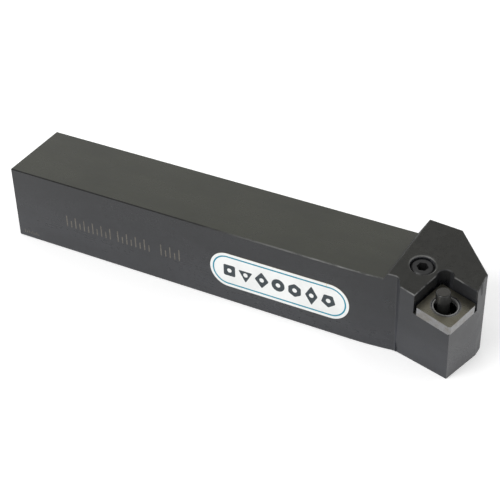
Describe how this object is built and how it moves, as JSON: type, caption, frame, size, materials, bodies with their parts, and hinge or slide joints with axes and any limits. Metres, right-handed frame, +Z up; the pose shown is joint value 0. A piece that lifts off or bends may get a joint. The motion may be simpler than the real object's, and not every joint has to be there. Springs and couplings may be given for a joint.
{
  "type": "turning tool holder",
  "caption": "Left-hand lathe tool holder: square steel shank, offset head with an angled insert pocket, shim, clamping lever and grooved socket screw.",
  "frame": {"origin": "middle of the plain shank's base face", "axes": "+X along the shank to the cutting end, +Y to the side that backs against the tool post, +Z up"},
  "size_m": [0.1526, 0.0309, 0.0307],
  "materials": {
    "blackened_steel": "black oxide over milled and ground faces, satin",
    "carbide": "ground sintered carbide, matt grey",
    "spring_steel": "bare spring steel, lightly oiled",
    "lever_steel": "blackened, hardened steel",
    "screw_steel": "black oxide",
    "label": "printed vinyl film, satin"
  },
  "bodies": {
    "holder": {"holder_body": "blackened_steel", "shim": "carbide", "shim_pin": "spring_steel", "side_label": "label"},
    "lever": {"lever": "lever_steel"},
    "screw": {"lever_screw": "screw_steel"}
  },
  "joints": [
    {"name": "screw_travel", "type": "slide", "parent": "holder", "child": "screw", "axis": [0.0735, -0.1273, 0.9891], "range_m": [0, 0.00125]},
    {"name": "lever_rock", "type": "hinge", "parent": "holder", "child": "lever", "pos_m": [0.08665, -0.0106, 0.01215], "axis": [0.582, 0.8109, 0.0611], "range_deg": [0, 7.62]}
  ],
  "couplings": [
    {"joint": "lever_rock", "follows": "screw_travel", "rad_per_m": 105.97}
  ]
}
